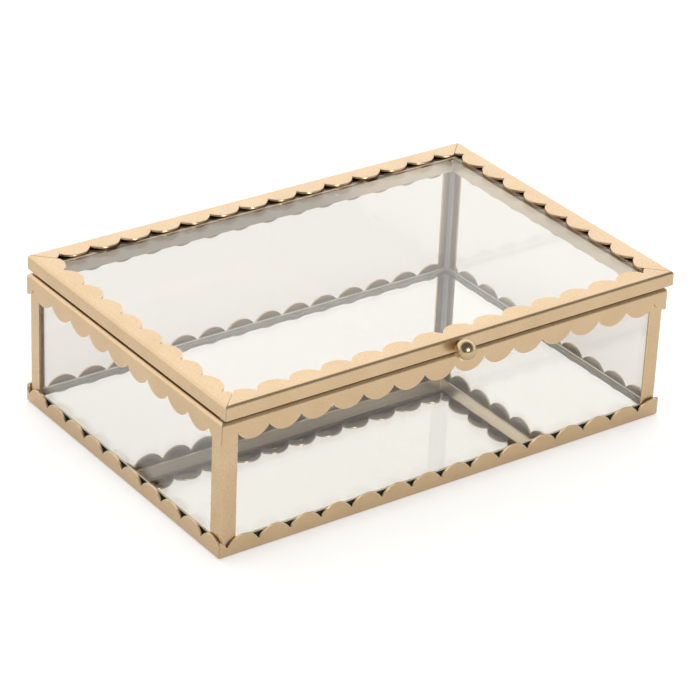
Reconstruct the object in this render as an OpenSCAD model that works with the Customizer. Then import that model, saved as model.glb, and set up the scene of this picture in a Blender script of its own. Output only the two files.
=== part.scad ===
// Glass vanity trinket box with a hinged glass lid and scalloped sheet-metal edging.
// Millimetres. +X is right, +Y is back, +Z is up.
// The origin is on the table, under the middle of the base.

/* [Base] */
// Width of the base over its bottom rails
base_w = 200; // [170:1:240]
// Depth of the base over its bottom rails
base_d = 133.6; // [110:0.2:170]
// Height from the table to the top of the rim
rim_z = 54.6; // [45:0.1:75]
// How far the bottom flange turns in under the floor
bottom_flange = 8; // [6:0.5:12]
// How far the rim's flange turns in over the panes
rim_flange = 4.8; // [4.4:0.1:5.2]
// Height of the collar inside the rim
collar_h = 5.3; // [3:0.1:7]
// Leg of each folded corner post
post_leg = 6.5; // [5:0.5:9]

/* [Lid] */
// How much wider the lid is than the base
lid_extra_w = 0; // [0:0.1:1]
// How much deeper the lid is than the base
lid_extra_d = 1; // [0.8:0.1:1.4]
// Sideways play that the hinges let the lid take up
lid_play_x = 0.8; // [0:0.1:1.2]
// How far forward of centre the lid sits
lid_forward = 0.6; // [0.2:0.1:0.6]
// Height of the lid's plain side
lid_side = 5.7; // [5.2:0.1:7]
// Gap between the rim and the lid
lid_gap = 1.4; // [0.8:0.1:1.6]
// How far the lid's seat frame reaches in under its glass
seat_w = 5.6; // [4.5:0.1:6]
// Angle at which the hinge heels stop the lid
lid_open = 100; // [95:1:110]

/* [Sheet metal] */
// Thickness of the folded sheet
sheet_t = 0.8; // [0.7:0.1:0.9]
// Outside radius of a fold
fold_r = 1.1; // [1:0.1:1.3]
// How far each mitred end stops short of the corner's diagonal
mitre_gap = 0.1; // [0.05:0.05:0.2]

/* [Scallops] */
// Distance between two cusps
pitch = 13.34; // [12:0.02:15]
// Height of a scallop from cusp to tip
scallop_h = 4; // [3.5:0.1:4.5]
// Plain band of a bottom rail, up to the cusps
bottom_band = 3.7; // [3:0.1:4.5]
// Plain band of the front and left rim rails, down to the cusps
rim_band = 5.2; // [5:0.1:6]
// Plain band of the back and right rim rails, down to the cusps
rear_rim_band = 3.4; // [3:0.1:6]
// Plain band of a lid rail, in to the cusps
lid_band = 5; // [4.5:0.1:6]
// Straight pieces in each scallop
arc_steps = 12; // [6:2:20]

/* [Glass] */
// Thickness of each side pane
pane_t = 2; // [1.8:0.1:2.5]
// Thickness of the lid's pane
lid_pane_t = 3; // [2:0.1:3]
// Thickness of the mirror floor
mirror_t = 3; // [2:0.5:4]
// Thickness of the board under the mirror
board_t = 1.4; // [1:0.1:2]

/* [Knob] */
// Diameter of the ball
ball_d = 7.9; // [7:0.1:8.2]
// Distance from the lid's front face to the ball's centre
ball_reach = 4.2; // [4.2:0.1:7]
// How far the knob sits left of the lid's middle
knob_left = 0.8; // [0:0.1:2]
// How far the knob sits below the middle of the lid's side
knob_drop = 0.5; // [0:0.1:0.6]

/* [Hinges] */
// Distance between the middles of the two hinges
hinge_span = 120; // [80:1:140]
// Width of one hinge
hinge_w = 18; // [14:0.5:24]
// Radius of a hinge pin
pin_r = 0.65; // [0.5:0.05:0.7]

/* [Hidden] */
$fn = 48;
rim_inset = 0.3;
post_inset = rim_inset + sheet_t;
glass_inset = post_inset + sheet_t + 0.15;
rim_w = base_w - 2 * rim_inset;
rim_d = base_d - 2 * rim_inset;
lid_w = base_w + lid_extra_w;
lid_d = base_d + lid_extra_d;
board_z = sheet_t;
mirror_z = board_z + board_t;
floor_z = mirror_z + mirror_t;
pane_top = rim_z - sheet_t - 0.2;
collar_top = rim_z + 1.1;
collar_inset = rim_inset + rim_flange;
lid_z = rim_z + lid_gap;
lid_top = lid_z + lid_side;
lid_shift = [lid_play_x, -lid_forward, 0];

// The lid's glass lies on its seat frame, under a thin bed of clear silicone.
bead_t = 0.5;
lid_glass_inset = 2.2;
lid_glass_top = lid_top - sheet_t - bead_t;
lid_glass_z = lid_glass_top - lid_pane_t;
seat_z = lid_glass_z - sheet_t;

// Each scallop is one arc that spans the pitch.
scallop_r = (pitch * pitch / 4 + scallop_h * scallop_h) / (2 * scallop_h);
scallop_half = asin(pitch / 2 / scallop_r);
fold_steps = 6;

// First cusp from each rail's left end, seen from outside: front, right, back, left.
bottom_phase = [3.5, 5, 3.9, 1.8];
rim_phase = [6.5, 5.4, 4.7, 4.6];
rim_bands = [rim_band, rear_rim_band, rear_rim_band, rim_band];
lid_phase = [2.5, 4, 2.7, 4];

// Hinge section, seen along X.
leaf_t = 0.6;
base_leaf_h = 3.2;
lid_leaf_h = 3.6;
knuckle_r = 1.3;
knuckle_gap = 0.2;
rim_back_y = rim_d / 2;
lid_back_y = lid_d / 2 + lid_shift[1];
axis_y = lid_back_y + knuckle_r + 0.2;
axis_z = rim_z + lid_gap / 2;
knuckle_w = (hinge_w - 2 * knuckle_gap) / 3;
lid_bore_r = pin_r + 0.05;
base_bore_r = pin_r + 0.01;
heel_reach = 2.4;
heel_top = -0.1;
heel_angle = lid_open + 1;
leaf_face = axis_y - rim_back_y - leaf_t;
heel_low = -(leaf_face + heel_reach * cos(heel_angle)) / sin(heel_angle);

// Knob, on the lid's front rail.
knob_x = lid_shift[0] - knob_left;
knob_y = -lid_d / 2 + lid_shift[1];
knob_z = lid_z + lid_side / 2 - knob_drop;
neck_r = 1.7;
stud_r = 1;
stud_hole_r = stud_r + 0.05;
rivet_r = 1.6;
rivet_t = 0.9;

metal = "Tan";
knob_metal = "Goldenrod";
hinge_metal = "DarkKhaki";
clear_glass = [0.88, 0.93, 0.92, 0.3];
mirror_silver = "WhiteSmoke";
clear_silicone = [0.95, 0.95, 0.95, 0.6];

// Depth of the scalloped edge at u, where the cusps lie at phase + k * pitch.
function edge_depth(u, phase, band) =
  let (du = (u - phase) - pitch * floor((u - phase) / pitch) - pitch / 2)
  band + scallop_h - scallop_r + sqrt(scallop_r * scallop_r - du * du);

// Points of the scalloped edge from u0 to u1.
function scallop_edge(u0, u1, phase, band) = concat(
  [[u0, edge_depth(u0, phase, band)]],
  [for (k = [floor((u0 - phase) / pitch) : ceil((u1 - phase) / pitch)])
    for (step = [0 : arc_steps - 1])
      let (a = scallop_half * (2 * step / arc_steps - 1))
      let (u = phase + (k + 0.5) * pitch + scallop_r * sin(a))
      if (u > u0 + 0.1 && u < u1 - 0.1)
        [u, band + scallop_h - scallop_r + scallop_r * cos(a)]],
  [[u1, edge_depth(u1, phase, band)]]
);

// Waste that the press cuts away beyond the scalloped edge.
module scallop_waste(length, phase, band) {
  far = band + scallop_h + 3;
  polygon(concat(scallop_edge(-1, length + 1, phase, band), [[length + 1, far], [-1, far]]));
}

function fold_arc(radius, from, to) =
  [for (step = [0 : fold_steps])
    let (a = from + (to - from) * step / fold_steps)
    [fold_r + radius * cos(a), -fold_r + radius * sin(a)]];

// Folded strip: a flange along +X and a side along -Y, with the outer corner at the origin.
module fold_section(flange, side) {
  polygon(concat(
    fold_arc(fold_r, 180, 90),
    [[flange, 0], [flange, -sheet_t]],
    fold_arc(fold_r - sheet_t, 90, 180),
    [[sheet_t, -side], [0, -side]]
  ));
}

// Rail along +X with its outer face at y = 0 and its flange on top, mitred at both ends.
module folded_rail(length, flange, side) {
  intersection() {
    rotate([90, 0, 90])
      linear_extrude(length)
        fold_section(flange, side);
    translate([0, 0, -side - 1])
      linear_extrude(side + 2)
        polygon([
          [mitre_gap - 1, -1],
          [length - mitre_gap + 1, -1],
          [length - mitre_gap - flange - 1, flange + 1],
          [mitre_gap + flange + 1, flange + 1]
        ]);
  }
}

// Rail whose hanging side is scalloped.
module side_scalloped_rail(length, flange, band, phase) {
  difference() {
    folded_rail(length, flange, band + scallop_h);
    translate([0, sheet_t + 1, 0])
      rotate([90, 0, 0])
        linear_extrude(sheet_t + 2)
          mirror([0, 1])
            scallop_waste(length, phase, band);
  }
}

// Rail whose top flange is scalloped.
module top_scalloped_rail(length, side, band, phase) {
  difference() {
    folded_rail(length, band + scallop_h, side);
    translate([0, 0, -sheet_t - 1])
      linear_extrude(sheet_t + 2)
        scallop_waste(length, phase, band);
  }
}

function side_length(side, w, d) = side % 2 == 0 ? w : d;

// Puts a child on one side of a w by d frame: 0 is front, 1 right, 2 back and 3 left.
module on_side(side, w, d) {
  rotate([0, 0, 90 * side])
    translate([-side_length(side, w, d) / 2, -side_length(side + 1, w, d) / 2, 0])
      children();
}

module bottom_rail(side) {
  color(metal)
    on_side(side, base_w, base_d)
      mirror([0, 0, 1])
        side_scalloped_rail(side_length(side, base_w, base_d), bottom_flange, bottom_band,
          bottom_phase[side]);
}

module rim_rail(side) {
  color(metal)
    translate([0, 0, rim_z])
      on_side(side, rim_w, rim_d)
        side_scalloped_rail(side_length(side, rim_w, rim_d), rim_flange, rim_bands[side],
          rim_phase[side]);
}

module lid_rail(side) {
  color(metal)
    translate([0, 0, lid_top] + lid_shift)
      on_side(side, lid_w, lid_d)
        top_scalloped_rail(side_length(side, lid_w, lid_d), lid_side, lid_band,
          lid_phase[side]);
}

// The front rail is drilled for the knob's stud.
module lid_rail_front() {
  difference() {
    lid_rail(0);
    color(metal)
      translate([knob_x, knob_y - 1, knob_z])
        rotate([-90, 0, 0])
          cylinder(r = stud_hole_r, h = sheet_t + 2);
  }
}

// Post at a corner, where x and y are -1 or 1.
module corner_post(x, y) {
  turn = x < 0 ? (y < 0 ? 90 : 0) : (y < 0 ? 180 : 270);
  color(metal)
    translate([x * (base_w / 2 - post_inset), y * (base_d / 2 - post_inset), sheet_t])
      rotate([0, 0, turn])
        linear_extrude(rim_z - fold_r - sheet_t)
          fold_section(post_leg, post_leg);
}

// Flat rectangle inset from the base's outer faces.
module base_sheet(inset, z, thickness) {
  translate([inset - base_w / 2, inset - base_d / 2, z])
    cube([base_w - 2 * inset, base_d - 2 * inset, thickness]);
}

module felt_pad() {
  color("DarkOliveGreen")
    base_sheet(bottom_flange + 0.4, 0, sheet_t);
}

module base_board() {
  color("Peru")
    base_sheet(glass_inset, board_z, board_t);
}

module mirror_floor() {
  color(mirror_silver)
    base_sheet(glass_inset, mirror_z, mirror_t);
}

// The front and back panes run the full width, and the side panes stand between them.
module side_pane(side) {
  long = side % 2 == 0;
  across = side_length(side + 1, base_w, base_d) / 2 - glass_inset;
  along = side_length(side, base_w, base_d) - 2 * glass_inset - (long ? 0 : 2 * pane_t + 0.2);
  color(clear_glass)
    rotate([0, 0, 90 * side])
      translate([-along / 2, -across, floor_z])
        cube([along, pane_t, pane_top - floor_z]);
}

// Rectangular ring whose outer and inner edges are inset from a w by d frame.
module inset_ring(w, d, outer, inner, h) {
  difference() {
    translate([outer - w / 2, outer - d / 2, 0])
      cube([w - 2 * outer, d - 2 * outer, h]);
    translate([inner - w / 2, inner - d / 2, -1])
      cube([w - 2 * inner, d - 2 * inner, h + 2]);
  }
}

// Collar soldered to the edge of the rim's flange, which the lid closes over.
module rim_collar() {
  color(metal)
    translate([0, 0, collar_top - collar_h])
      inset_ring(base_w, base_d, collar_inset, collar_inset + sheet_t, collar_h);
}

// Clear silicone in the four inside corners, up to the collar.
module corner_beads() {
  bead = 1.6;
  inner_x = base_w / 2 - glass_inset - pane_t;
  inner_y = base_d / 2 - glass_inset - pane_t;
  color(clear_silicone)
    for (x = [-1, 1])
      for (y = [-1, 1])
        translate([x * inner_x, y * inner_y, floor_z])
          linear_extrude(collar_top - collar_h - 0.1 - floor_z)
            polygon([[0, 0], [-x * bead, 0], [0, -y * bead]]);
}

// Clear bumpers on the rim's front corners, which the lid's seat frame comes down on.
module lid_bumpers() {
  bumper_r = 1.8;
  inset = rim_inset + fold_r + bumper_r;
  bumper_h = seat_z - rim_z - 0.2;
  color(clear_silicone)
    for (x = [-1, 1])
      translate([x * (base_w / 2 - inset), inset - base_d / 2, rim_z])
        cylinder(r1 = bumper_r, r2 = bumper_r - 0.5, h = bumper_h);
}

module lid_pane() {
  color(clear_glass)
    translate([lid_glass_inset - lid_w / 2, lid_glass_inset - lid_d / 2, lid_glass_z] + lid_shift)
      cube([lid_w - 2 * lid_glass_inset, lid_d - 2 * lid_glass_inset, lid_pane_t]);
}

// Thin silicone bed between the lid's flanges and its glass.
module lid_pane_bead() {
  color(clear_silicone)
    translate([0, 0, lid_glass_top] + lid_shift)
      inset_ring(lid_w, lid_d, lid_glass_inset + 0.2, lid_band - 0.9, bead_t);
}

// Flat frame soldered inside the lid's sides under its glass, notched round the knob's rivet.
module lid_seat_frame() {
  color(metal)
    difference() {
      translate([0, 0, seat_z] + lid_shift)
        inset_ring(lid_w, lid_d, sheet_t, seat_w, sheet_t);
      translate([knob_x - rivet_r - 0.3, knob_y, seat_z - 1])
        cube([2 * rivet_r + 0.6, sheet_t + rivet_t + 0.2, sheet_t + 2]);
    }
}

// Tube along X on the hinge axis, from x0 to x0 + w.
module knuckle(x0, w) {
  translate([x0, axis_y, axis_z])
    rotate([0, 90, 0])
      cylinder(r = knuckle_r, h = w);
}

module hinge_bore(radius) {
  translate([-hinge_w, axis_y, axis_z])
    rotate([0, 90, 0])
      cylinder(r = radius, h = 2 * hinge_w);
}

// Leaf on the rim's back face, with a knuckle at each end of the hinge.
module hinge_base_leaf(x) {
  leaf_top = axis_z - 0.9;
  color(hinge_metal)
    translate([x, 0, 0])
      difference() {
        union() {
          translate([-hinge_w / 2, rim_back_y, leaf_top - base_leaf_h])
            cube([hinge_w, leaf_t, base_leaf_h]);
          for (x0 = [-hinge_w / 2, hinge_w / 2 - knuckle_w]) {
            knuckle(x0, knuckle_w);
            translate([x0, rim_back_y, leaf_top - 0.6])
              cube([knuckle_w, axis_y - rim_back_y, 0.9]);
          }
        }
        hinge_bore(base_bore_r);
      }
}

// Leaf on the lid's back face, with the middle knuckle and the heel that stops the lid.
module hinge_lid_leaf(x) {
  leaf_low = axis_z + knuckle_r + 0.1;
  color(hinge_metal)
    translate([x, 0, 0])
      difference() {
        union() {
          translate([-hinge_w / 2, lid_back_y, leaf_low])
            cube([hinge_w, leaf_t, lid_leaf_h]);
          translate([-knuckle_w / 2, lid_back_y, axis_z + 0.55])
            cube([knuckle_w, leaf_t, lid_leaf_h]);
          translate([-knuckle_w / 2, lid_back_y, axis_z + 0.55])
            cube([knuckle_w, axis_y - lid_back_y, 0.6]);
          knuckle(-knuckle_w / 2, knuckle_w);
          translate([-knuckle_w / 2, axis_y, axis_z + heel_low])
            cube([knuckle_w, heel_reach, heel_top - heel_low]);
        }
        hinge_bore(lid_bore_r);
      }
}

module hinge_pin(x) {
  color("Silver")
    translate([x - hinge_w / 2, axis_y, axis_z])
      rotate([0, 90, 0])
        cylinder(r = pin_r, h = hinge_w);
}

// Turned ball with a short neck and a blind hole for the rivet.
module knob_ball() {
  ball_r = ball_d / 2;
  color(knob_metal)
    translate([knob_x, knob_y, knob_z])
      rotate([90, 0, 0])
        difference() {
          union() {
            translate([0, 0, ball_reach])
              sphere(r = ball_r);
            cylinder(r = neck_r, h = ball_reach);
          }
          translate([0, 0, -1])
            cylinder(r = stud_hole_r, h = ball_reach + 1);
        }
}

// Stud peened over inside the lid's front rail.
module knob_rivet() {
  color(knob_metal)
    translate([knob_x, knob_y, knob_z])
      rotate([90, 0, 0]) {
        translate([0, 0, -sheet_t - 0.1])
          cylinder(r = stud_r, h = ball_reach + sheet_t - 0.1);
        translate([0, 0, -sheet_t - rivet_t])
          cylinder(r = rivet_r, h = rivet_t);
      }
}

felt_pad();
base_board();
mirror_floor();
bottom_rail(0);  // bottom_rail_front
bottom_rail(1);  // bottom_rail_right
bottom_rail(2);  // bottom_rail_back
bottom_rail(3);  // bottom_rail_left
corner_post(-1, -1);  // corner_post_front_left
corner_post(1, -1);  // corner_post_front_right
corner_post(1, 1);  // corner_post_back_right
corner_post(-1, 1);  // corner_post_back_left
side_pane(0);  // side_pane_front
side_pane(1);  // side_pane_right
side_pane(2);  // side_pane_back
side_pane(3);  // side_pane_left
corner_beads();
rim_rail(0);  // rim_rail_front
rim_rail(1);  // rim_rail_right
rim_rail(2);  // rim_rail_back
rim_rail(3);  // rim_rail_left
rim_collar();
lid_bumpers();
hinge_base_leaf(-hinge_span / 2);  // hinge_base_leaf_left
hinge_base_leaf(hinge_span / 2);  // hinge_base_leaf_right
hinge_pin(-hinge_span / 2);  // hinge_pin_left
hinge_pin(hinge_span / 2);  // hinge_pin_right
lid_rail_front();
lid_rail(1);  // lid_rail_right
lid_rail(2);  // lid_rail_back
lid_rail(3);  // lid_rail_left
lid_pane();
lid_pane_bead();
lid_seat_frame();
hinge_lid_leaf(-hinge_span / 2);  // hinge_lid_leaf_left
hinge_lid_leaf(hinge_span / 2);  // hinge_lid_leaf_right
knob_ball();
knob_rivet();
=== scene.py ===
import math
import bmesh
import bpy
from mathutils import Matrix, Vector


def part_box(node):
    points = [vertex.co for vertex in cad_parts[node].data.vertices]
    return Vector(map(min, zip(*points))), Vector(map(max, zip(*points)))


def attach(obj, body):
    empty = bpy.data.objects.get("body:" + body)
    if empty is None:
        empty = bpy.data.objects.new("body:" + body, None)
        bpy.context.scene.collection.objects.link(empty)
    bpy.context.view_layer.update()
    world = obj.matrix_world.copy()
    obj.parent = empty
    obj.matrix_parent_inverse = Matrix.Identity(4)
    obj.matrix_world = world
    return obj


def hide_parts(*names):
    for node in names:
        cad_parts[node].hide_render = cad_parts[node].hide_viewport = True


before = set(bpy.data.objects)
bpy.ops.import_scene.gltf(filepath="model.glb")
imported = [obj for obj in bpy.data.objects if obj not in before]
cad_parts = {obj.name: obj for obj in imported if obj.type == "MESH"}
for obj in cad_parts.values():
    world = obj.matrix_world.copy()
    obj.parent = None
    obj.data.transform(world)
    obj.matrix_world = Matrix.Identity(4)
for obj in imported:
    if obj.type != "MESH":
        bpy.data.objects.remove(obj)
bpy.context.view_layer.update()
mm = 0.001
scene = bpy.context.scene
scene.view_settings.view_transform = "Standard"  # keeps the pale floor and the lacquer at their own colours

# A Mix node's colour sockets share their names with its number sockets, so they go by their places
mixA, mixB, mixResult = 6, 7, 2


def addNode(tree, kind, inputs=(), **settings):
    # inputs are {socket: value} or values in socket order; a value that is a node links its first output
    node = tree.nodes.new(kind)
    for name, value in settings.items():
        setattr(node, name, value)
    pairs = inputs.items() if isinstance(inputs, dict) else enumerate(inputs)
    for key, value in pairs:
        if isinstance(value, bpy.types.Node):
            value = value.outputs[0]
        if isinstance(value, bpy.types.NodeSocket):
            tree.links.new(value, node.inputs[key])
        else:
            node.inputs[key].default_value = value
    return node


def colour(hexCode):
    # sRGB hex to the linear colour that shaders want
    parts = [int(hexCode[start:start + 2], 16) / 255 for start in (1, 3, 5)]
    return [part / 12.92 if part <= 0.04045 else ((part + 0.055) / 1.055) ** 2.4 for part in parts] + [1.0]


def newMaterial(name):
    material = bpy.data.materials.new(name)
    material.use_nodes = True
    material.node_tree.nodes.clear()
    return material


# Camera: long lens, front left and above, turned a little about its own axis
cameraSettings = {
    "lens": 159.85,
    "place": (-0.6122, -0.8330, 0.5814),
    "target": (0.0001, -0.00265, 0.02614),
    "rollDegrees": 2.59,
    "clipEnd": 20,
}


def makeCamera(settings):
    camera = bpy.data.objects.new("camera", bpy.data.cameras.new("camera"))
    scene.collection.objects.link(camera)
    camera.data.lens = settings["lens"]
    camera.data.clip_end = settings["clipEnd"]
    place = Vector(settings["place"])
    look = (Vector(settings["target"]) - place).to_track_quat("-Z", "Y").to_matrix().to_4x4()
    roll = Matrix.Rotation(math.radians(settings["rollDegrees"]), 4, "Z")
    camera.matrix_world = Matrix.Translation(place) @ look @ roll
    scene.camera = camera


makeCamera(cameraSettings)
print("camera placed")

# Lacquer on the folded sheet: warm champagne base, fine metal flake, a satin clear top
lacquerSettings = {
    "shades": {
        "champagneLacquerOnSteel": ("#CAAB83", "#E4C9A4"),
        "paleCollarLacquer": ("#D8C6A9", "#F2E5CC"),  # the inner collar reads paler, almost bare steel
        "seatPaintedShadeLacquer": ("#665137", "#85694A"),  # the lid's hidden seat is painted dark bronze as painted shade, for the deep shade under the lid's flange
    },
    "flakeSize": 0.35 * mm,  # real flake is finer; drawn this coarse so that it shows
    "flakeShare": 0.75,  # the flake's part in the change of shade; blotches make the rest
    "blotchSize": 14 * mm,
    "deepBelow": 0.3,  # noise levels between which the deep shade turns to the pale one
    "paleAbove": 0.7,
    "metallic": 0.9,
    "roughness": 0.29,
    "smoother": 0.08,  # how far the flake takes the roughness down and up
    "rougher": 0.1,
    "bump": 0.12,
    "bumpDepth": 0.05 * mm,
}


def champagneLacquer(name):
    # Sprayed metallic lacquer on folded steel: gives a soft sheen with a fine grainy sparkle
    settings = lacquerSettings
    deep, pale = settings["shades"][name]
    material = newMaterial(name)
    tree = material.node_tree
    place = addNode(tree, "ShaderNodeTexCoord").outputs["Object"]
    flake = addNode(tree, "ShaderNodeTexNoise", {
        "Vector": place,
        "Scale": 1 / settings["flakeSize"],
        "Detail": 2.0,
        "Roughness": 0.7,
    })
    blotch = addNode(tree, "ShaderNodeTexNoise", {
        "Vector": place,
        "Scale": 1 / settings["blotchSize"],
        "Detail": 3.0,
    })
    share = settings["flakeShare"]
    blotchPart = addNode(tree, "ShaderNodeMath", [blotch, 1 - share], operation="MULTIPLY")
    mixed = addNode(tree, "ShaderNodeMath", [flake, share, blotchPart], operation="MULTIPLY_ADD")
    tone = addNode(tree, "ShaderNodeMapRange", {
        "Value": mixed,
        "From Min": settings["deepBelow"],
        "From Max": settings["paleAbove"],
    })
    base = addNode(tree, "ShaderNodeMix", {
        "Factor": tone,
        mixA: colour(deep),
        mixB: colour(pale),
    }, data_type="RGBA")
    rough = addNode(tree, "ShaderNodeMapRange", {
        "Value": flake,
        "To Min": settings["roughness"] - settings["smoother"],
        "To Max": settings["roughness"] + settings["rougher"],
    })
    bump = addNode(tree, "ShaderNodeBump", {
        "Strength": settings["bump"],
        "Distance": settings["bumpDepth"],
        "Height": flake,
    })
    shader = addNode(tree, "ShaderNodeBsdfPrincipled", {
        "Base Color": base.outputs[mixResult],
        "Metallic": settings["metallic"],
        "Roughness": rough,
        "Normal": bump,
        "Coat Weight": 0.15,
        "Coat Roughness": 0.3,
    })
    addNode(tree, "ShaderNodeOutputMaterial", {"Surface": shader})
    return material


edgeSettings = {
    "worn": "#E2C79F",
    "bright": "#F6E2C0",
    "rubSize": 3 * mm,
    "metallic": 0.75,
    "roughness": 0.3,
}


def edgeWearAndHighlight():
    # Sheared and rubbed sheet edge, drawn lighter than the lacquer: partly thin lacquer from wear, partly a
    # painted highlight, so it reads as a crisp bright line
    settings = edgeSettings
    material = newMaterial("wornEdgeAndPaintedHighlight")
    tree = material.node_tree
    place = addNode(tree, "ShaderNodeTexCoord").outputs["Object"]
    rub = addNode(tree, "ShaderNodeTexNoise", {
        "Vector": place,
        "Scale": 1 / settings["rubSize"],
        "Detail": 3.0,
    })
    tone = addNode(tree, "ShaderNodeMix", {
        "Factor": rub,
        mixA: colour(settings["worn"]),
        mixB: colour(settings["bright"]),
    }, data_type="RGBA")
    shader = addNode(tree, "ShaderNodeBsdfPrincipled", {
        "Base Color": tone.outputs[mixResult],
        "Metallic": settings["metallic"],
        "Roughness": settings["roughness"],
    })
    addNode(tree, "ShaderNodeOutputMaterial", {"Surface": shader})
    return material


# Each finish has its colour and its middle roughness
brassSettings = {
    "finishes": {
        "polishedBrassKnob": ("#CBB48E", 0.2),
        "satinBrassHinge": ("#C9AD7C", 0.28),
    },
    "smearSize": 1.5 * mm,
    "smoothest": 0.7,  # times the finish's own roughness
    "roughest": 1.6,
    "bump": 0.04,
    "bumpDepth": 0.05 * mm,
}


def polishedBrass(name):
    # Turned and buffed brass: a tight sheen, uneven where the buffing wheel left faint smears
    settings = brassSettings
    tint, roughness = settings["finishes"][name]
    material = newMaterial(name)
    tree = material.node_tree
    place = addNode(tree, "ShaderNodeTexCoord").outputs["Object"]
    smear = addNode(tree, "ShaderNodeTexNoise", {
        "Vector": place,
        "Scale": 1 / settings["smearSize"],
        "Detail": 4.0,
    })
    rough = addNode(tree, "ShaderNodeMapRange", {
        "Value": smear,
        "To Min": roughness * settings["smoothest"],
        "To Max": roughness * settings["roughest"],
    })
    bump = addNode(tree, "ShaderNodeBump", {
        "Strength": settings["bump"],
        "Distance": settings["bumpDepth"],
        "Height": smear,
    })
    shader = addNode(tree, "ShaderNodeBsdfPrincipled", {
        "Base Color": colour(tint),
        "Metallic": 1.0,
        "Roughness": rough,
        "Normal": bump,
    })
    addNode(tree, "ShaderNodeOutputMaterial", {"Surface": shader})
    return material


wireSettings = {
    "tint": "#B9B4AC",
    "markLength": 5 * mm,
    "markWidth": 0.25 * mm,
    "smoothest": 0.25,
    "roughest": 0.45,
}


def drawnSteel():
    # Drawn steel wire for the pins: dull bright metal with lengthwise draw marks
    settings = wireSettings
    material = newMaterial("drawnSteelWire")
    tree = material.node_tree
    place = addNode(tree, "ShaderNodeTexCoord").outputs["Object"]
    across = 1 / settings["markWidth"]
    stretched = addNode(tree, "ShaderNodeMapping", {
        "Vector": place,
        "Scale": (1 / settings["markLength"], across, across),
    })
    marks = addNode(tree, "ShaderNodeTexNoise", {"Vector": stretched, "Scale": 1.0, "Detail": 2.0})
    rough = addNode(tree, "ShaderNodeMapRange", {
        "Value": marks,
        "To Min": settings["smoothest"],
        "To Max": settings["roughest"],
    })
    shader = addNode(tree, "ShaderNodeBsdfPrincipled", {
        "Base Color": colour(settings["tint"]),
        "Metallic": 1.0,
        "Roughness": rough,
    })
    addNode(tree, "ShaderNodeOutputMaterial", {"Surface": shader})
    return material


glassSettings = {
    "tints": {
        "clearFloatGlass": "#EEECE9",
        "mirrorFrontGlass": "#FEFEFE",
    },
    "lampTint": "#F0EFEC",  # what is left of lamp light behind one face
    "ior": 1.5,
}


def floatGlass(name):
    # Clear float glass: sharp reflections and a faint tint from its own thickness
    settings = glassSettings
    material = newMaterial(name)
    tree = material.node_tree
    glass = addNode(tree, "ShaderNodeBsdfPrincipled", {
        "Base Color": colour(settings["tints"][name]),
        "Roughness": 0.0,
        "IOR": settings["ior"],
        "Transmission Weight": 1.0,
    })
    # Lamp light and light off matt surfaces go straight through, so that panes cast no dark shadow
    clear = addNode(tree, "ShaderNodeBsdfTransparent", {"Color": colour(settings["lampTint"])})
    path = addNode(tree, "ShaderNodeLightPath").outputs
    straight = [path["Is Shadow Ray"], path["Is Diffuse Ray"]]
    goesThrough = addNode(tree, "ShaderNodeMath", straight, operation="MAXIMUM")
    both = addNode(tree, "ShaderNodeMixShader", [goesThrough, glass, clear])
    addNode(tree, "ShaderNodeOutputMaterial", {"Surface": both})
    return material


# Each edge has its colour from outside and its colour through the pane. The colours through the pane are
# painted reflections; both lid colours are painted shade
cutEdgeSettings = {
    "tints": {
        "cutGlassEdge": ("#8F9A91", "#F1E7D3"),
        "lidGlassEdgePaintedShade": ("#4B3D28", "#3E3120"),  # both browns are painted shade, the dark of the shaded seat around the lid's edge
        "mirrorGlassEdge": ("#3A4840", "#D6CCBA"),
    },
    "chipSize": 0.6 * mm,
    "smoothest": 0.2,
    "roughest": 0.5,
    "ior": 1.5,
}


def cutGlassEdge(name):
    # Cut and ground glass edge: matt from outside, another colour when looked at through the pane itself,
    # which is a painted reflection, and painted shade on the lid
    settings = cutEdgeSettings
    outside, inside = settings["tints"][name]
    material = newMaterial(name)
    tree = material.node_tree
    place = addNode(tree, "ShaderNodeTexCoord").outputs["Object"]
    chips = addNode(tree, "ShaderNodeTexNoise", {
        "Vector": place,
        "Scale": 1 / settings["chipSize"],
        "Detail": 3.0,
    })
    rough = addNode(tree, "ShaderNodeMapRange", {
        "Value": chips,
        "To Min": settings["smoothest"],
        "To Max": settings["roughest"],
    })
    # Back faces are seen through the glass: their colour is a painted reflection, and on the lid a painted
    # shade
    tone = addNode(tree, "ShaderNodeMix", {
        "Factor": addNode(tree, "ShaderNodeNewGeometry").outputs["Backfacing"],
        mixA: colour(outside),
        mixB: colour(inside),
    }, data_type="RGBA")
    shader = addNode(tree, "ShaderNodeBsdfPrincipled", {
        "Base Color": tone.outputs[mixResult],
        "Roughness": rough,
        "IOR": settings["ior"],
    })
    addNode(tree, "ShaderNodeOutputMaterial", {"Surface": shader})
    return material


silverSettings = {"tint": "#F7F8F6", "filmSize": 25 * mm, "haze": 0.025}


def silveredMirror():
    # Silver behind float glass: a clean, very slightly green mirror with a faint uneven haze
    settings = silverSettings
    material = newMaterial("silveredMirror")
    tree = material.node_tree
    place = addNode(tree, "ShaderNodeTexCoord").outputs["Object"]
    film = addNode(tree, "ShaderNodeTexNoise", {
        "Vector": place,
        "Scale": 1 / settings["filmSize"],
        "Detail": 2.0,
    })
    rough = addNode(tree, "ShaderNodeMapRange", {"Value": film, "To Min": 0.0, "To Max": settings["haze"]})
    shader = addNode(tree, "ShaderNodeBsdfPrincipled", {
        "Base Color": colour(settings["tint"]),
        "Metallic": 1.0,
        "Roughness": rough,
    })
    addNode(tree, "ShaderNodeOutputMaterial", {"Surface": shader})
    return material


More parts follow.
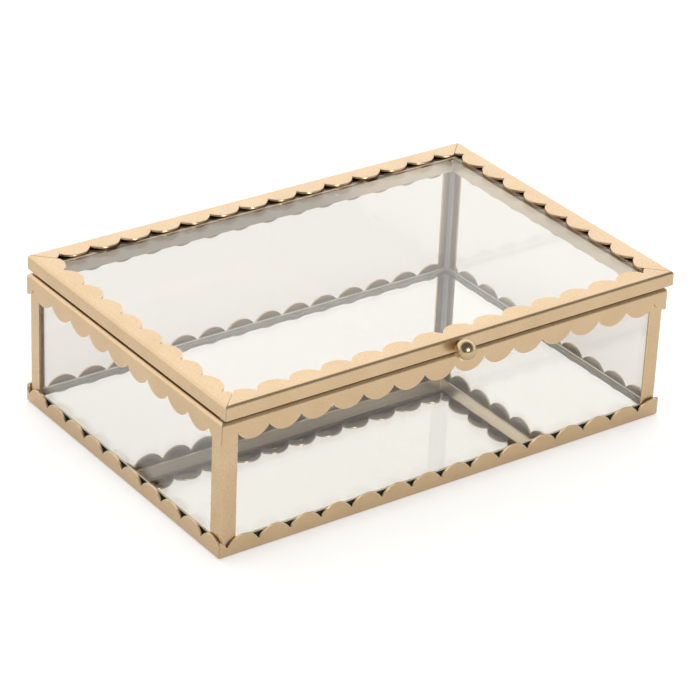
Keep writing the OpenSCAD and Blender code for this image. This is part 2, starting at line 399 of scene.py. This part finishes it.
# Each silicone has its colour and how much of what is behind it it covers
siliconeSettings = {
    "kinds": {
        "clearSilicone": ("#E9EAE6", 0.35),
        # The bead's dark brown is painted shade for the shade under the lid's flange
        "paintedShadeSiliconeBead": ("#57462E", 0.8),
    },
    "cloudSize": 2 * mm,
    "smoothest": 0.2,
    "roughest": 0.4,
    "ior": 1.41,
}


def curedSilicone(name):
    # Cured silicone: cloudy and soft-edged, lets part of the light through
    settings = siliconeSettings
    tint, cover = settings["kinds"][name]
    material = newMaterial(name)
    tree = material.node_tree
    place = addNode(tree, "ShaderNodeTexCoord").outputs["Object"]
    cloud = addNode(tree, "ShaderNodeTexNoise", {"Vector": place, "Scale": 1 / settings["cloudSize"]})
    rough = addNode(tree, "ShaderNodeMapRange", {
        "Value": cloud,
        "To Min": settings["smoothest"],
        "To Max": settings["roughest"],
    })
    shader = addNode(tree, "ShaderNodeBsdfPrincipled", {
        "Base Color": colour(tint),
        "Roughness": rough,
        "IOR": settings["ior"],
        "Alpha": cover,
    })
    addNode(tree, "ShaderNodeOutputMaterial", {"Surface": shader})
    return material


boardSettings = {
    "dark": "#5A4029",
    "light": "#8A6B48",
    "fibreSize": 0.8 * mm,
    "roughness": 0.8,
    "bump": 0.3,
    "bumpDepth": 0.1 * mm,
}


def hardboard():
    # Pressed wood fibre board: brown with short random fibres
    settings = boardSettings
    material = newMaterial("hardboard")
    tree = material.node_tree
    place = addNode(tree, "ShaderNodeTexCoord").outputs["Object"]
    fibre = addNode(tree, "ShaderNodeTexNoise", {
        "Vector": place,
        "Scale": 1 / settings["fibreSize"],
        "Detail": 5.0,
        "Distortion": 1.5,
    })
    tone = addNode(tree, "ShaderNodeMix", {
        "Factor": fibre,
        mixA: colour(settings["dark"]),
        mixB: colour(settings["light"]),
    }, data_type="RGBA")
    bump = addNode(tree, "ShaderNodeBump", {
        "Strength": settings["bump"],
        "Distance": settings["bumpDepth"],
        "Height": fibre,
    })
    shader = addNode(tree, "ShaderNodeBsdfPrincipled", {
        "Base Color": tone.outputs[mixResult],
        "Roughness": settings["roughness"],
        "Normal": bump,
    })
    addNode(tree, "ShaderNodeOutputMaterial", {"Surface": shader})
    return material


feltSettings = {
    "dark": "#1E1D1B",
    "light": "#474440",
    "darkBelow": 0.12,  # noise levels between which the dark shade turns to the light one
    "lightAbove": 0.4,
    "tangleSize": 0.5 * mm,
    "clumpSize": 5 * mm,
    "roughness": 0.95,
    "bump": 0.6,
    "bumpDepth": 0.15 * mm,
}


def pressedFelt():
    # Pressed felt: matt charcoal with a tangle of short fibres and a faint fuzz at grazing angles
    settings = feltSettings
    material = newMaterial("pressedFelt")
    tree = material.node_tree
    place = addNode(tree, "ShaderNodeTexCoord").outputs["Object"]
    tangle = addNode(tree, "ShaderNodeTexNoise", {
        "Vector": place,
        "Scale": 1 / settings["tangleSize"],
        "Detail": 6.0,
        "Distortion": 3.0,
    })
    clumps = addNode(tree, "ShaderNodeTexNoise", {
        "Vector": place,
        "Scale": 1 / settings["clumpSize"],
        "Detail": 3.0,
    })
    mixed = addNode(tree, "ShaderNodeMath", [tangle, clumps], operation="MULTIPLY")
    tone = addNode(tree, "ShaderNodeMapRange", {
        "Value": mixed,
        "From Min": settings["darkBelow"],
        "From Max": settings["lightAbove"],
    })
    base = addNode(tree, "ShaderNodeMix", {
        "Factor": tone,
        mixA: colour(settings["dark"]),
        mixB: colour(settings["light"]),
    }, data_type="RGBA")
    bump = addNode(tree, "ShaderNodeBump", {
        "Strength": settings["bump"],
        "Distance": settings["bumpDepth"],
        "Height": tangle,
    })
    shader = addNode(tree, "ShaderNodeBsdfPrincipled", {
        "Base Color": base.outputs[mixResult],
        "Roughness": settings["roughness"],
        "Normal": bump,
        "Sheen Weight": 0.4,
        "Sheen Roughness": 0.5,
    })
    addNode(tree, "ShaderNodeOutputMaterial", {"Surface": shader})
    return material


lacquer = champagneLacquer("champagneLacquerOnSteel")
collarMetal = champagneLacquer("paleCollarLacquer")
# The seat's dark bronze is painted shade, not the metal's own colour
seatShadeMetal = champagneLacquer("seatPaintedShadeLacquer")
# The bevels' light colour is partly edge wear and partly a painted highlight
sheetEdge = edgeWearAndHighlight()
knobBrass = polishedBrass("polishedBrassKnob")
hingeBrass = polishedBrass("satinBrassHinge")
pinSteel = drawnSteel()
paneGlass = floatGlass("clearFloatGlass")
mirrorFront = floatGlass("mirrorFrontGlass")
paneEdge = cutGlassEdge("cutGlassEdge")
# The lid glass edge's brown is painted shade
lidGlassEdgePaintedShade = cutGlassEdge("lidGlassEdgePaintedShade")
mirrorEdge = cutGlassEdge("mirrorGlassEdge")
mirrorSilver = silveredMirror()
silicone = curedSilicone("clearSilicone")
# The lid bead's dark brown is painted shade
glueLine = curedSilicone("paintedShadeSiliconeBead")
board = hardboard()
felt = pressedFelt()
print("materials made")


# Folded sheet rails with one scalloped leg
railSettings = {
    "sheetThickness": 0.8 * mm,
    "mitreGap": 0.1 * mm,
    "pitch": 13.34 * mm,
    "scallopHeight": 4.0 * mm,
    "edgeBevel": 0.14 * mm,
}
# Each ring of four rails: bands above the scallops and first cusps run front, right, back, left, in mm
railRings = {
    "bottom_rail": {
        "body": "base",
        "plainLeg": 8 * mm,
        "foldRadius": 1.1 * mm,
        "bands": (3.7, 3.7, 3.7, 3.7),
        "cusps": (3.5, 5, 3.9, 1.8),
        "scallopsOnFlange": False,
        "upright": True,
    },
    "rim_rail": {
        "body": "base",
        "plainLeg": 4.8 * mm,
        "foldRadius": 1.9 * mm,
        "bands": (5.2, 3.4, 3.4, 5.2),
        "cusps": (6.5, 5.4, 4.7, 4.6),
        "scallopsOnFlange": False,
        "upright": False,
    },
    "lid_rail": {
        "body": "lid",
        "plainLeg": 5.7 * mm,
        "foldRadius": 1.1 * mm,
        "bands": (5, 5, 5, 5),
        "cusps": (2.5, 4, 2.7, 4),
        "scallopsOnFlange": True,
        "upright": False,
    },
}
railSizes = (
    "Length", "Plain Leg", "Band", "Scallop Height", "Pitch",
    "First Cusp", "Sheet", "Fold Radius", "Mitre Gap", "On Flange",
)


def railTree(material):
    # A grid wrapped round the folded section: rows go out along the outer face, back along the inner one
    tree = bpy.data.node_groups.new("scallopedRail", "GeometryNodeTree")
    tree.interface.new_socket("Geometry", in_out="OUTPUT", socket_type="NodeSocketGeometry")
    for name in railSizes:
        tree.interface.new_socket(name, in_out="INPUT", socket_type="NodeSocketFloat")
    sizes = addNode(tree, "NodeGroupInput").outputs
    maths = "ShaderNodeMath"
    foldSteps = 8
    scallopSteps = 24
    endMargin = 0.1 * mm  # keeps the first inner column clear of the fold's corner
    weldDistance = 0.01 * mm
    half = 0.5  # rows and columns are told apart at half numbers, clear of rounding
    legRows = foldSteps + 3  # free edge, fold rows, scalloped edge
    rows = 2 * legRows + 1  # the last row closes on the first
    radius = sizes["Fold Radius"]

    # One arc spans the pitch: its radius from half the pitch and the scallop's height
    halfPitch = addNode(tree, maths, [sizes["Pitch"], 0.5], operation="MULTIPLY")
    height = sizes["Scallop Height"]
    heightSquared = addNode(tree, maths, [height, height], operation="MULTIPLY")
    chordPart = addNode(tree, maths, [halfPitch, halfPitch, heightSquared], operation="MULTIPLY_ADD")
    twiceHeight = addNode(tree, maths, [height, 2.0], operation="MULTIPLY")
    arcRadius = addNode(tree, maths, [chordPart, twiceHeight], operation="DIVIDE")

    # Columns lie on the scallops' own spacing, so that each cusp stays sharp
    step = addNode(tree, maths, [sizes["Pitch"], 1 / scallopSteps], operation="MULTIPLY")
    corner = addNode(tree, maths, [radius, sizes["Mitre Gap"]], operation="ADD")
    margin = addNode(tree, maths, [corner, endMargin], operation="ADD")
    fromCusp = addNode(tree, maths, [margin, sizes["First Cusp"]], operation="SUBTRACT")
    partSteps = addNode(tree, maths, [fromCusp, step], operation="DIVIDE")
    stepsOn = addNode(tree, maths, [partSteps], operation="CEIL")
    firstColumn = addNode(tree, maths, [stepsOn, step, sizes["First Cusp"]], operation="MULTIPLY_ADD")
    farMargin = addNode(tree, maths, [sizes["Length"], margin], operation="SUBTRACT")
    room = addNode(tree, maths, [farMargin, firstColumn], operation="SUBTRACT")
    stepsInRoom = addNode(tree, maths, [room, step], operation="DIVIDE")
    inner = addNode(tree, maths, [stepsInRoom], operation="FLOOR")
    # One more column than steps, and at each end of the rail one more for the end and one for its cap
    columns = addNode(tree, maths, [inner, 5.0], operation="ADD")
    grid = addNode(tree, "GeometryNodeMeshGrid", {
        "Size X": 1.0,
        "Size Y": 1.0,
        "Vertices X": columns,
        "Vertices Y": rows,
    })

    # Each vertex's column and its row; the inner face's rows count back along the leg
    index = addNode(tree, "GeometryNodeInputIndex")
    partColumn = addNode(tree, maths, [index, float(rows)], operation="DIVIDE")
    column = addNode(tree, maths, [partColumn], operation="FLOOR")
    row = addNode(tree, maths, [index, float(rows)], operation="FLOORED_MODULO")
    wrapped = addNode(tree, maths, [row, float(rows - 1)], operation="FLOORED_MODULO")
    onInner = addNode(tree, maths, [wrapped, legRows - half], operation="GREATER_THAN")
    mirrored = addNode(tree, maths, [float(rows - 2), wrapped], operation="SUBTRACT")
    legRow = addNode(tree, "GeometryNodeSwitch", [onInner, wrapped, mirrored], input_type="FLOAT")

    # The outermost columns fold outer and inner faces together in mid sheet, which closes the ends
    lastColumn = addNode(tree, maths, [columns, 1.0], operation="SUBTRACT")
    mirroredColumn = addNode(tree, maths, [lastColumn, column], operation="SUBTRACT")
    nearEnd = addNode(tree, maths, [column, mirroredColumn], operation="MINIMUM")
    isCap = addNode(tree, maths, [nearEnd, half], operation="LESS_THAN")
    depth = addNode(tree, "GeometryNodeSwitch", [isCap, onInner, 0.5], input_type="FLOAT")
    inset = addNode(tree, maths, [depth, sizes["Sheet"]], operation="MULTIPLY")

    # Place along the rail
    isEnd = addNode(tree, maths, [nearEnd, 1 + half], operation="LESS_THAN")
    farHalf = addNode(tree, maths, [column, mirroredColumn], operation="GREATER_THAN")
    endPlace = addNode(tree, maths, [farHalf, sizes["Length"]], operation="MULTIPLY")
    onward = addNode(tree, maths, [column, 2.0], operation="SUBTRACT")
    innerPlace = addNode(tree, maths, [onward, step, firstColumn], operation="MULTIPLY_ADD")
    along = addNode(tree, "GeometryNodeSwitch", [isEnd, innerPlace, endPlace], input_type="FLOAT")

    # Depth of the scalloped edge there
    beyondCusp = addNode(tree, maths, [along, sizes["First Cusp"]], operation="SUBTRACT")
    inPitch = addNode(tree, maths, [beyondCusp, sizes["Pitch"]], operation="FLOORED_MODULO")
    fromTip = addNode(tree, maths, [inPitch, halfPitch], operation="SUBTRACT")
    radiusSquared = addNode(tree, maths, [arcRadius, arcRadius], operation="MULTIPLY")
    fromTipSquared = addNode(tree, maths, [fromTip, fromTip], operation="MULTIPLY")
    riseSquared = addNode(tree, maths, [radiusSquared, fromTipSquared], operation="SUBTRACT")
    rise = addNode(tree, maths, [riseSquared], operation="SQRT")
    tipDepth = addNode(tree, maths, [sizes["Band"], height], operation="ADD")
    centreDepth = addNode(tree, maths, [tipDepth, arcRadius], operation="SUBTRACT")
    scallop = addNode(tree, maths, [centreDepth, rise], operation="ADD")

    # A scalloped flange is cut off by the mitre near its ends, and no leg is shorter than its fold
    fromRight = addNode(tree, maths, [sizes["Length"], along], operation="SUBTRACT")
    fromNearEnd = addNode(tree, maths, [along, fromRight], operation="MINIMUM")
    mitreDepth = addNode(tree, maths, [fromNearEnd, sizes["Mitre Gap"]], operation="SUBTRACT")
    mitred = addNode(tree, maths, [scallop, mitreDepth], operation="MINIMUM")
    edge = addNode(tree, "GeometryNodeSwitch", [sizes["On Flange"], scallop, mitred], input_type="FLOAT")
    edge = addNode(tree, maths, [edge, radius], operation="MAXIMUM")

    # Section: plain leg, quarter-round fold, scalloped leg
    turn = addNode(tree, "ShaderNodeMapRange", {
        "Value": legRow,
        "From Min": 1.0,
        "From Max": float(foldSteps + 1),
        "To Max": math.pi / 2,
    })
    foldInside = addNode(tree, maths, [radius, inset], operation="SUBTRACT")
    sine = addNode(tree, maths, [turn], operation="SINE")
    cosine = addNode(tree, maths, [turn], operation="COSINE")
    reachPlain = addNode(tree, maths, [foldInside, sine], operation="MULTIPLY")
    reachScalloped = addNode(tree, maths, [foldInside, cosine], operation="MULTIPLY")
    foldPlain = addNode(tree, maths, [radius, reachPlain], operation="SUBTRACT")
    foldScalloped = addNode(tree, maths, [radius, reachScalloped], operation="SUBTRACT")
    atPlainEdge = addNode(tree, maths, [legRow, half], operation="LESS_THAN")
    atScallops = addNode(tree, maths, [legRow, foldSteps + 1 + half], operation="GREATER_THAN")
    switch = "GeometryNodeSwitch"
    plain = addNode(tree, switch, [atPlainEdge, foldPlain, sizes["Plain Leg"]], input_type="FLOAT")
    scalloped = addNode(tree, switch, [atScallops, foldScalloped, edge], input_type="FLOAT")
    inward = addNode(tree, switch, [sizes["On Flange"], plain, scalloped], input_type="FLOAT")
    downward = addNode(tree, switch, [sizes["On Flange"], scalloped, plain], input_type="FLOAT")

    # The mitre cuts both ends at 45 degrees in plan
    low = addNode(tree, maths, [inward, sizes["Mitre Gap"]], operation="ADD")
    high = addNode(tree, maths, [sizes["Length"], low], operation="SUBTRACT")
    aboveLow = addNode(tree, maths, [along, low], operation="MAXIMUM")
    clear = addNode(tree, maths, [aboveLow, high], operation="MINIMUM")
    drop = addNode(tree, maths, [downward, -1.0], operation="MULTIPLY")
    place = addNode(tree, "ShaderNodeCombineXYZ", [clear, inward, drop])
    folded = addNode(tree, "GeometryNodeSetPosition", {"Geometry": grid, "Position": place})
    closed = addNode(tree, "GeometryNodeMergeByDistance", {"Geometry": folded, "Distance": weldDistance})
    real = addNode(tree, "GeometryNodeRealizeInstances", {"Geometry": closed})
    painted = addNode(tree, "GeometryNodeSetMaterial", {"Geometry": real, "Material": material})
    addNode(tree, "NodeGroupOutput", [painted])
    return tree


def meshFromTree(name, tree, values):
    holder = bpy.data.objects.new(name + "Blank", bpy.data.meshes.new(name + "Blank"))
    scene.collection.objects.link(holder)
    modifier = holder.modifiers.new("shape", "NODES")
    modifier.node_group = tree
    for item in tree.interface.items_tree:
        if item.in_out == "INPUT":
            modifier[item.identifier] = values[item.name]
    graph = bpy.context.evaluated_depsgraph_get()
    mesh = bpy.data.meshes.new_from_object(holder.evaluated_get(graph), depsgraph=graph)
    holder.modifiers.clear()
    bpy.data.objects.remove(holder)
    mesh.name = name
    return mesh


weldSettings = {"madeMesh": 0.002 * mm, "cadMesh": 0.001 * mm, "flatDegrees": 1}
sharpAngle = math.radians(32)  # edges that turn more than this stay crisp and are the ones that are broken


def writeBack(work, mesh):
    # Turns every face outwards, smooths it and gives it the piece's first material
    bmesh.ops.recalc_face_normals(work, faces=work.faces)
    for face in work.faces:
        face.smooth = True
        face.material_index = 0
    work.to_mesh(mesh)
    work.free()
    return mesh


def placeMesh(mesh, matrix):
    # Puts a made mesh in its place and closes its seams
    distance = weldSettings["madeMesh"]
    work = bmesh.new()
    work.from_mesh(mesh)
    bmesh.ops.transform(work, matrix=matrix, verts=work.verts)
    bmesh.ops.remove_doubles(work, verts=work.verts, dist=distance)
    bmesh.ops.dissolve_degenerate(work, edges=work.edges, dist=distance)
    return writeBack(work, mesh)


def copyOfNode(node):
    # A merged copy of a CAD mesh with its flat faces whole again
    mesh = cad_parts[node].data.copy()
    mesh.name = node
    flat = math.radians(weldSettings["flatDegrees"])
    work = bmesh.new()
    work.from_mesh(mesh)
    bmesh.ops.remove_doubles(work, verts=work.verts, dist=weldSettings["cadMesh"])
    bmesh.ops.dissolve_limit(work, angle_limit=flat, verts=work.verts, edges=work.edges)
    return writeBack(work, mesh)


def finishPiece(name, mesh, materials, body, node, bevel=0.0, edgeMaterial=-1):
    # A named piece that rides on its body, with its edges broken by a small bevel
    # An edge material of -1 leaves the bevel in the material beside it
    piece = bpy.data.objects.new(name, mesh)
    scene.collection.objects.link(piece)
    faceMaterials = [polygon.material_index for polygon in mesh.polygons]
    mesh.materials.clear()  # this also sets every face back to the first material
    for material in materials:
        mesh.materials.append(material)
    mesh.polygons.foreach_set("material_index", faceMaterials)
    mesh.set_sharp_from_angle(angle=sharpAngle)
    if bevel > 0:
        modifier = piece.modifiers.new("brokenEdges", "BEVEL")
        modifier.width = bevel
        modifier.segments = 2
        modifier.limit_method = "ANGLE"
        modifier.angle_limit = sharpAngle
        modifier.harden_normals = True
        modifier.material = edgeMaterial
    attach(piece, body)
    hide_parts(node)


def makeRails(settings):
    tree = railTree(lacquer)
    gap = settings["mitreGap"]
    for ring, own in railRings.items():
        nodes = [ring + "_" + side for side in ("front", "right", "back", "left")]
        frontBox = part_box(nodes[0])
        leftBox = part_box(nodes[3])
        left, right = frontBox[0].x - gap, frontBox[1].x + gap
        near, far = leftBox[0].y - gap, leftBox[1].y + gap
        foldHeight = frontBox[0].z if own["upright"] else frontBox[1].z
        starts = ((left, near), (right, near), (right, far), (left, far))
        for number, node in enumerate(nodes):
            mesh = meshFromTree(node, tree, {
                "Length": (right - left) if number % 2 == 0 else (far - near),
                "Plain Leg": own["plainLeg"],
                "Band": own["bands"][number] * mm,
                "Scallop Height": settings["scallopHeight"],
                "Pitch": settings["pitch"],
                "First Cusp": own["cusps"][number] * mm,
                "Sheet": settings["sheetThickness"],
                "Fold Radius": own["foldRadius"],
                "Mitre Gap": gap,
                "On Flange": float(own["scallopsOnFlange"]),
            })
            turn = Matrix.Rotation(math.pi / 2 * number, 4, "Z")
            flip = Matrix.Scale(-1 if own["upright"] else 1, 4, (0, 0, 1))
            placeMesh(mesh, Matrix.Translation((*starts[number], foldHeight)) @ turn @ flip)
            materials = [lacquer, sheetEdge]
            bevel = settings["edgeBevel"]
            finishPiece(node + "_sheet", mesh, materials, own["body"], node, bevel, 1)


makeRails(railSettings)
print("rails folded")

postSettings = {"edgeBevel": 0.14 * mm}


def makePosts(settings):
    for corner in ("front_left", "front_right", "back_right", "back_left"):
        node = "corner_post_" + corner
        materials = [lacquer, sheetEdge]
        bevel = settings["edgeBevel"]
        finishPiece(node + "_angle", copyOfNode(node), materials, "base", node, bevel, 1)


makePosts(postSettings)

# Each pane: the axis across it (0 for x, 1 for y, 2 for z), its body and its edge
paneSettings = {
    "panes": {
        "side_pane_front": (1, "base", paneEdge),
        "side_pane_right": (0, "base", paneEdge),
        "side_pane_back": (1, "base", paneEdge),
        "side_pane_left": (0, "base", paneEdge),
        "lid_pane": (2, "lid", lidGlassEdgePaintedShade),
    },
    "edgeBevel": 0.25 * mm,
}
mirrorSettings = {"edgeBevel": 0.3 * mm, "silverGap": 0.05 * mm}


faceOn = 0.5  # a face whose normal has more than this along an axis faces that way


def markEdges(mesh, thinAxis):
    # Gives the narrow faces of a sheet of glass its second material
    for polygon in mesh.polygons:
        if abs(polygon.normal[thinAxis]) < faceOn:
            polygon.material_index = 1


def makePanes(settings):
    for node, (thinAxis, body, edge) in settings["panes"].items():
        mesh = copyOfNode(node)
        markEdges(mesh, thinAxis)
        bevel = settings["edgeBevel"]
        finishPiece(node + "_glass", mesh, [paneGlass, edge], body, node, bevel, 1)


def makeMirror(settings):
    # The silver is the slab's under face, so reflections start a glass thickness down
    mesh = copyOfNode("mirror_floor")
    markEdges(mesh, 2)
    silverFaces = [polygon for polygon in mesh.polygons if polygon.normal.z < -faceOn]
    for polygon in silverFaces:
        polygon.material_index = 2
    silverVertices = {number for polygon in silverFaces for number in polygon.vertices}
    for number in silverVertices:
        mesh.vertices[number].co.z += settings["silverGap"]  # clear of the board, so that the silver shows
    materials = [mirrorFront, mirrorEdge, mirrorSilver]
    bevel = settings["edgeBevel"]
    finishPiece("mirror_floor_glass", mesh, materials, "base", "mirror_floor", bevel, 1)


makePanes(paneSettings)
makeMirror(mirrorSettings)
print("posts, panes and mirror made")

# Each small part: its material, its slot, its body and its bevel in mm
smallParts = {
    "rim_collar": (collarMetal, "champagne_metal", "base", 0.14),
    # The seat frame's dark lacquer is painted shade
    "lid_seat_frame": (seatShadeMetal, "champagne_metal", "lid", 0.14),
    "lid_pane_bead": (glueLine, "clear_silicone", "lid", 0.1),
    "corner_beads": (silicone, "clear_silicone", "base", 0.15),
    "lid_bumpers": (silicone, "clear_silicone", "base", 0.3),
    "base_board": (board, "backing_board", "base", 0.15),
    "felt_pad": (felt, "felt", "base", 0.25),
    "hinge_base_leaf_left": (hingeBrass, "hinge_metal", "base", 0.1),
    "hinge_base_leaf_right": (hingeBrass, "hinge_metal", "base", 0.1),
    "hinge_lid_leaf_left": (hingeBrass, "hinge_metal", "lid", 0.1),
    "hinge_lid_leaf_right": (hingeBrass, "hinge_metal", "lid", 0.1),
    "hinge_pin_left": (pinSteel, "pin_steel", "base", 0.15),
    "hinge_pin_right": (pinSteel, "pin_steel", "base", 0.15),
    "knob_rivet": (knobBrass, "polished_brass", "lid", 0.1),
}
for node, (material, slotName, body, bevel) in smallParts.items():
    finishPiece(node + "_part", copyOfNode(node), [material], body, node, bevel * mm)
print("small pieces made")


knobSettings = {"neckRadius": 1.7 * mm, "spins": 64, "arcSteps": 28}


def makeKnob(settings):
    # A turned outline spun round the knob's own axis: short neck, then ball
    low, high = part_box("knob_ball")
    ball = (high.x - low.x) / 2
    centre = Vector(((low.x + high.x) / 2, low.y + ball, (low.z + high.z) / 2))
    root = high.y
    neck = settings["neckRadius"]
    join = math.asin(neck / ball)
    outline = [(0.0, root), (neck, root)]
    arcSteps = settings["arcSteps"]
    for number in range(arcSteps + 1):
        angle = join + (math.pi - join) * number / arcSteps
        outline.append((ball * math.sin(angle), centre.y + ball * math.cos(angle)))
    work = bmesh.new()
    verts = [work.verts.new((centre.x + reach, y, centre.z)) for reach, y in outline]
    edges = [work.edges.new(pair) for pair in zip(verts, verts[1:])]
    bmesh.ops.spin(
        work, geom=verts + edges, cent=centre, axis=(0, 1, 0), angle=2 * math.pi, steps=settings["spins"],
        use_merge=True,
    )
    bmesh.ops.remove_doubles(work, verts=work.verts, dist=weldSettings["madeMesh"])
    mesh = writeBack(work, bpy.data.meshes.new("knob"))
    finishPiece("knob_ball_turned", mesh, [knobBrass], "lid", "knob_ball")


makeKnob(knobSettings)
print("knob turned")


# The paper glows a little from behind, which leaves only a faint shadow on it
stageSettings = {
    "paper": "#C6C5C3",
    "glow": 0.46,
    "glowOnMetal": 0.24,  # what metal and matt surfaces get of it
    "halfWidth": 4.0,
    "level": -0.05 * mm,  # just clear of the felt and the rails
}


def makeStage(settings):
    # Plain pale floor that runs far past the view
    mesh = bpy.data.meshes.new("floor")
    half = settings["halfWidth"]
    level = settings["level"]
    corners = [(-half, -half, level), (half, -half, level), (half, half, level), (-half, half, level)]
    mesh.from_pydata(corners, [], [(0, 1, 2, 3)])
    floor = bpy.data.objects.new("floor", mesh)
    scene.collection.objects.link(floor)
    material = newMaterial("paleBacklitPaper")
    tree = material.node_tree
    path = addNode(tree, "ShaderNodeLightPath").outputs
    direct = [path["Is Camera Ray"], path["Is Transmission Ray"]]
    seen = addNode(tree, "ShaderNodeMath", direct, operation="MAXIMUM")
    glow = addNode(tree, "ShaderNodeMapRange", {
        "Value": seen,
        "To Min": settings["glowOnMetal"],
        "To Max": settings["glow"],
    })
    shader = addNode(tree, "ShaderNodeBsdfPrincipled", {
        "Base Color": colour(settings["paper"]),
        "Roughness": 0.9,
        "Emission Color": colour("#FFFFFF"),
        "Emission Strength": glow,
    })
    addNode(tree, "ShaderNodeOutputMaterial", {"Surface": shader})
    mesh.materials.append(material)


lightSettings = {
    "skyColour": "#FFFFFF",
    "skyStrength": 1.39,
    "darkStrength": 0.15,  # the unlit room above and behind the camera
    "darkCentre": (-0.15, -0.60, 0.786),
    "darkFrom": 0.08,  # cosines of the angles between which the room darkens
    "darkTo": 0.58,
    "lamps": {
        # A wide one whitens the floor, and a small one near the camera puts the glint on the knob
        "overhead": {"width": 2.4, "watts": 35, "place": (0.1, 0.3, 1.9), "seenInGloss": False},
        "softbox": {"width": 0.36, "watts": 5, "place": (-0.14, -1.13, 0.59), "seenInGloss": True},
    },
}


def makeSky(settings):
    # A bright studio all round with one smooth dark patch
    world = bpy.data.worlds.new("studio")
    scene.world = world
    world.use_nodes = True
    tree = world.node_tree
    tree.nodes.clear()
    direction = addNode(tree, "ShaderNodeTexCoord").outputs["Generated"]
    toDark = addNode(tree, "ShaderNodeVectorMath", {
        0: direction,
        1: Vector(settings["darkCentre"]),
    }, operation="DOT_PRODUCT")
    level = addNode(tree, "ShaderNodeMapRange", {
        "Value": toDark.outputs["Value"],
        "From Min": settings["darkFrom"],
        "From Max": settings["darkTo"],
        "To Min": settings["skyStrength"],
        "To Max": settings["darkStrength"],
    }, interpolation_type="SMOOTHSTEP")
    sky = addNode(tree, "ShaderNodeBackground", {"Color": colour(settings["skyColour"]), "Strength": level})
    addNode(tree, "ShaderNodeOutputWorld", {"Surface": sky})


def makeLamps(settings):
    # Square lamps, each aimed at the middle of the box's foot
    for name, own in settings["lamps"].items():
        light = bpy.data.objects.new(name, bpy.data.lights.new(name, "AREA"))
        light.data.size = own["width"]
        light.data.energy = own["watts"]
        light.location = own["place"]
        light.rotation_euler = (-Vector(own["place"])).to_track_quat("-Z", "Y").to_euler()
        light.visible_glossy = own["seenInGloss"]
        scene.collection.objects.link(light)


makeStage(stageSettings)
makeSky(lightSettings)
makeLamps(lightSettings)
print("stage and light made")
